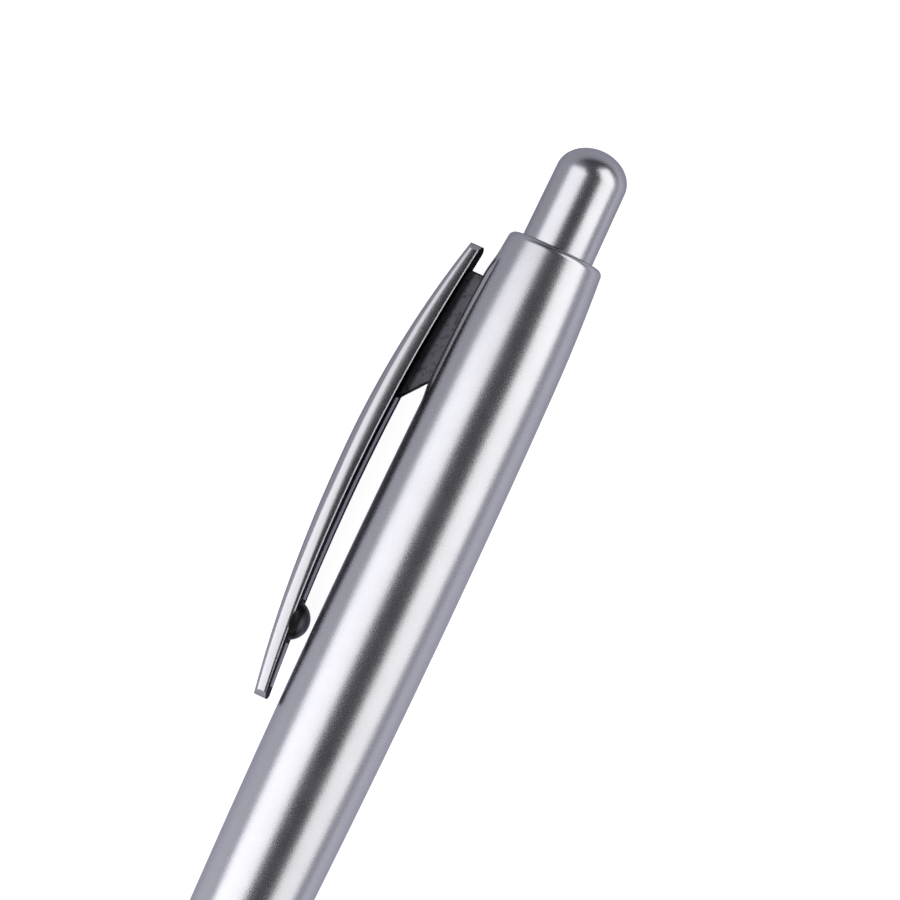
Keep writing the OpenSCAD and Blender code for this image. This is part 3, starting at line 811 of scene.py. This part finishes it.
def satinMetal(name, values):
    material, sheet = newMaterial(name)
    where = sheet.millimetres()
    cloud = sheet.speckle(where, surface["cloudScale"], 3.0)
    grain = sheet.speckle(where, surface["grainScale"], 4.0, 0.65)
    dust = sheet.speckle(where, surface["dustScale"], 1.0) > surface["dustLimit"]
    darker = [c * surface["cloudDarkness"] for c in values["colour"]]
    lighter = [min(1, c * surface["dustBrightness"]) for c in values["colour"]]
    colour = sheet.blend(cloud * surface["cloudShare"], values["colour"], darker)
    colour = sheet.blend(dust * surface["dustShare"], colour, lighter)
    if "dents" in values:
        dent = sheet.rise(sheet.speckle(where, surface["dentScale"]), *surface["dentSpan"])
        colour = sheet.blend(dent * values["dents"], colour, (0, 0, 0))
    # painted shade, darker towards the arm
    if "shade" in values:
        shade = paintedArmShade(sheet, where, values["shadeSpan"], values["shadeDrops"])
        colour = sheet.blend(shade * values["shade"], colour, (0, 0, 0))
    rough = values["rough"] + (cloud - 0.5) * surface["cloudRough"] + (grain - 0.5) * surface["grainRough"]
    bump = sheet.add("Bump", None, {
        "Strength": surface["grainBump"], "Distance": values["grain"] / 1000, "Height": grain,
    })
    sheet.finish(sheet.add("BsdfPrincipled", None, {
        "Base Color": colour, "Metallic": values.get("metal", 1.0), "Roughness": rough, "Normal": bump,
        "Specular Tint": values["edge"],
    }))
    return material


plastic = {
    "light": {"colour": (0.78, 0.78, 0.74), "rough": 0.42},
    "dark": {"colour": (0.035, 0.038, 0.045), "rough": 0.38},
    "tube": {"colour": (0.72, 0.74, 0.76), "rough": 0.25},
    "ink": {"colour": (0.01, 0.015, 0.12), "rough": 0.2},
    "grease": {"colour": (0.6, 0.48, 0.18), "rough": 0.15},
}
moulding = {
    # of every plastic; the scales are in patches a millimetre
    "cloudScale": 0.6,
    "cloudShare": 0.3,
    "cloudDarkness": 0.85,
    "cloudRough": 0.12,
    "grainScale": 7.0,
    "grainBump": 0.15,
    "grainHeight": 0.02,       # millimetres
}


def mouldedPlastic(name, values):
    material, sheet = newMaterial(name)
    where = sheet.millimetres()
    cloud = sheet.speckle(where, moulding["cloudScale"], 3.0)
    grain = sheet.speckle(where, moulding["grainScale"])
    darker = [c * moulding["cloudDarkness"] for c in values["colour"]]
    colour = sheet.blend(cloud * moulding["cloudShare"], values["colour"], darker)
    rough = values["rough"] + (cloud - 0.5) * moulding["cloudRough"]
    bump = sheet.add("Bump", None, {
        "Strength": moulding["grainBump"], "Distance": moulding["grainHeight"] / 1000, "Height": grain,
    })
    sheet.finish(sheet.add("BsdfPrincipled", None, {
        "Base Color": colour, "Roughness": rough, "Normal": bump, "IOR": 1.49,
    }))
    return material


finishes = {
    "barrel_metal": satinMetal("barrelSatin", satin["barrel"]),
    "clip_metal": satinMetal("clipSatin", satin["clip"]),
    "dark_metal": satinMetal("ballSteel", satin["ball"]),
    "light_plastic": mouldedPlastic("lightPlastic", plastic["light"]),
    "dark_plastic": mouldedPlastic("darkPlastic", plastic["dark"]),
    "refill_plastic": mouldedPlastic("tubePlastic", plastic["tube"]),
    "ink": mouldedPlastic("inkFill", plastic["ink"]),
    "follower_grease": mouldedPlastic("greaseFill", plastic["grease"]),
    "brass": satinMetal("turnedBrass", satin["brass"]),
    "spring_steel": satinMetal("springSteel", satin["spring"]),
}
ownPieces = (
    (barrelShell, "barrel_metal"), (lowerShell, "barrel_metal"), (noseShell, "barrel_metal"),
    (buttonCap, "barrel_metal"), (clipSolid, "clip_metal"), (clipBall, "dark_metal"),
    (springCoil, "spring_steel"),
)
for piece, slotName in ownPieces:
    piece.data.materials.append(finishes[slotName])
# the darker material with painted shade, for the web and the arm's underside
clipSolid.data.materials.append(satinMetal("webPaintedShade", satin["web"]))
for part in frame["record"]["subparts"]:
    solid = frame["nodes"][part["node"]]
    for materialSlot in solid.material_slots:
        materialSlot.material = finishes[part["material_slot"]]

print("setting up the table, the lamps and the camera")

studio = {
    # two soft panels, one on each side, which stand upright in the picture while the pen leans:
    # turns gives the degrees from straight up between which a panel stands, lean the degrees between
    # the pen and the panel seen from above, span where it begins and ends in metres up the picture,
    # and stops how its light changes from there to there
    "left": {
        "turns": (26.5, 88.0),
        "lean": 28.0,
        "span": (-0.5, 0.62),
        "stops": [(0.0, 0.98), (0.51, 1.0), (0.7, 0.86), (0.82, 0.64), (1.0, 0.5)],
        "radiance": 2.22,
        "colour": (1.0, 1.0, 1.0),
    },
    "right": {
        "turns": (20.0, 67.0),
        "lean": 20.0,
        "span": (-0.5, 0.62),
        "stops": [(0.0, 0.6), (0.2, 0.75), (0.38, 1.0), (1.0, 1.0)],
        "radiance": 2.1,
        "colour": (1.0, 0.995, 0.98),
    },
    "middle": (-0.05, 0.0),    # what they stand round
    "distance": 0.55,
    "horizon": (0.47, 0.47, 0.54),           # the surroundings that the metal mirrors
    "overhead": (0.058, 0.056, 0.072),
    "horizonHeights": (0.15, 0.9),           # between which it goes over into what is overhead
    "horizonAhead": (-0.9, -0.4),            # and along the pen: it fades out towards the button
}
table = {
    "halfSide": 6.0,           # metres
    "colour": 0.4,
    "glow": 0.9,               # its own light, as the camera sees it
    "mirrored": (0.50, 0.505, 0.60),         # and as the metal mirrors it
    # the darker glow towards the clip and the button is painted shade that the metal mirrors
    "mirroredShadeByClip": (0.12, 0.125, 0.18),   # which is darker towards the clip and the button
    "changeAlong": (1.0, 1.5, 0.0),
    "changeSpan": (-0.1, -0.01),             # where that begins and ends
}


def addPanel(name, sideways, values):
    lean = math.radians(values["lean"])
    ahead = Vector((-math.cos(lean), -math.sin(lean), 0))
    aside = Vector((math.sin(lean), -math.cos(lean), 0)) * sideways
    start, end = (math.radians(turn) for turn in values["turns"])
    away = aside * math.sin((start + end) / 2) + Vector((0, 0, math.cos((start + end) / 2)))
    middle = Vector((*studio["middle"], 0))
    width = 2 * studio["distance"] * math.tan((end - start) / 2)
    low, high = values["span"]
    lamp = bpy.data.lights.new(name, "AREA")
    lamp.shape, lamp.size, lamp.size_y = "RECTANGLE", high - low, width
    lamp.energy = values["radiance"] * math.pi * (high - low) * width
    lamp.use_nodes = True
    sheet = Sheet(lamp.node_tree)
    along = sheet.along(sheet.add("NewGeometry", out="Position"), ahead)
    share = (along - (middle.dot(ahead) + low)) * (1 / (high - low))
    stops = [(place, [level] * 3) for place, level in values["stops"]]
    shade = sheet.add("ValToRGB", {"stops": stops}, {0: share})
    light = sheet.blend(1.0, shade, values["colour"], "MULTIPLY")
    sheet.add("OutputLight", None, {"Surface": sheet.add("Emission", None, {"Color": light})})
    holder = bpy.data.objects.new(name, lamp)
    holder.location = middle + away * studio["distance"] + ahead * (low + high) / 2
    holder.rotation_euler = Matrix((ahead, away.cross(ahead), away)).transposed().to_euler()
    bpy.context.scene.collection.objects.link(holder)


addPanel("leftPanel", 1, studio["left"])
addPanel("rightPanel", -1, studio["right"])

world = bpy.data.worlds.new("studioRoom")
bpy.context.scene.world = world
world.use_nodes = True
sky = Sheet(world.node_tree)
direction = sky.add("TexCoord", out="Generated")
ahead = sky.add("SeparateXYZ", None, {0: direction}, "X")
height = sky.add("SeparateXYZ", None, {0: direction}, "Z")
low = 1 - sky.rise(height, *studio["horizonHeights"], "SMOOTHSTEP")
side = sky.rise(ahead, *studio["horizonAhead"], "SMOOTHSTEP")
room = sky.blend(low * side, studio["overhead"], studio["horizon"])
seen = sky.add("LightPath", out="Is Camera Ray")
background = sky.add("Background", None, {"Color": sky.blend(seen, room, (1, 1, 1))})
sky.add("OutputWorld", None, {"Surface": background})

far = table["halfSide"]
corners = [(-far, -far, 0), (far, -far, 0), (far, far, 0), (-far, far, 0)]
tableMesh = bpy.data.meshes.new("table")
tableMesh.from_pydata(corners, [], [(0, 1, 2, 3)])
tableTop = bpy.data.objects.new("table", tableMesh)
bpy.context.scene.collection.objects.link(tableTop)
tableMaterial, sheet = newMaterial("whiteTable")
direct = sheet.add("LightPath", out="Is Camera Ray")
glossy = sheet.add("LightPath", out="Is Glossy Ray")
through = sheet.add("LightPath", out="Is Transmission Ray")
# the glow that the metal mirrors is darker towards the clip and the button: painted shade in its
# reflections
share = sheet.rise(sheet.along(sheet.places(), table["changeAlong"]), *table["changeSpan"])
mirrored = sheet.blend(share, table["mirroredShadeByClip"], table["mirrored"])
glow = sheet.blend(glossy, [table["glow"]] * 3, mirrored)
paint = sheet.add("BsdfDiffuse", None, {"Color": [table["colour"]] * 3})
light = sheet.add("Emission", None, {"Color": sheet.blend(direct + glossy + through, (0, 0, 0), glow)})
sheet.finish(sheet.add("AddShader", None, {0: paint, 1: light}))
tableMesh.materials.append(tableMaterial)

view = {
    "tilt": 25.24,             # degrees by which the pen leans in the picture
    "clipTurn": 10.0,          # by which the clip is turned away from the camera
    "fromTip": 2.35,           # by which the camera stands towards the writing end
    "fromTop": 30.0,           # the picture's middle, from the top of the button
    "toClip": 1.08,            # and from the pen's axis
    "distance": 1.0,           # metres
    "pixelsPerMillimetre": 11.2,
    "pictureWidth": 900,
    "sensorWidth": 36.0,
    "farEnd": 20.0,            # metres, beyond which nothing shows
}
tilt, lean = math.radians(view["tilt"]), math.radians(view["fromTip"])
aside = math.radians(pen["roll"] - view["clipTurn"])
back = Vector((math.sin(lean), -math.cos(lean) * math.sin(aside), math.cos(lean) * math.cos(aside)))
buttonWay = Vector((-1, 0, 0))
towardsButton = (buttonWay - back * back.dot(buttonWay)).normalized()
towardsClip = back.cross(towardsButton)
right = towardsButton * math.sin(tilt) - towardsClip * math.cos(tilt)
up = towardsButton * math.cos(tilt) + towardsClip * math.sin(tilt)
target = Vector(seat((0, 0, pen["length"] - view["fromTop"]))[0]) + towardsClip * view["toClip"] / 1000
camera = bpy.data.objects.new("photoCamera", bpy.data.cameras.new("photoCamera"))
camera.data.sensor_width = view["sensorWidth"]
pictureWidth = view["pictureWidth"] / view["pixelsPerMillimetre"] / 1000   # metres of the scene
camera.data.lens = view["sensorWidth"] * view["distance"] / pictureWidth
camera.location = target + back * view["distance"]
camera.rotation_euler = Matrix((right, up, back)).transposed().to_euler()
camera.data.clip_end = view["farEnd"]
bpy.context.scene.collection.objects.link(camera)
bpy.context.scene.camera = camera
bpy.context.scene.view_settings.view_transform = "Standard"

print("finishing")
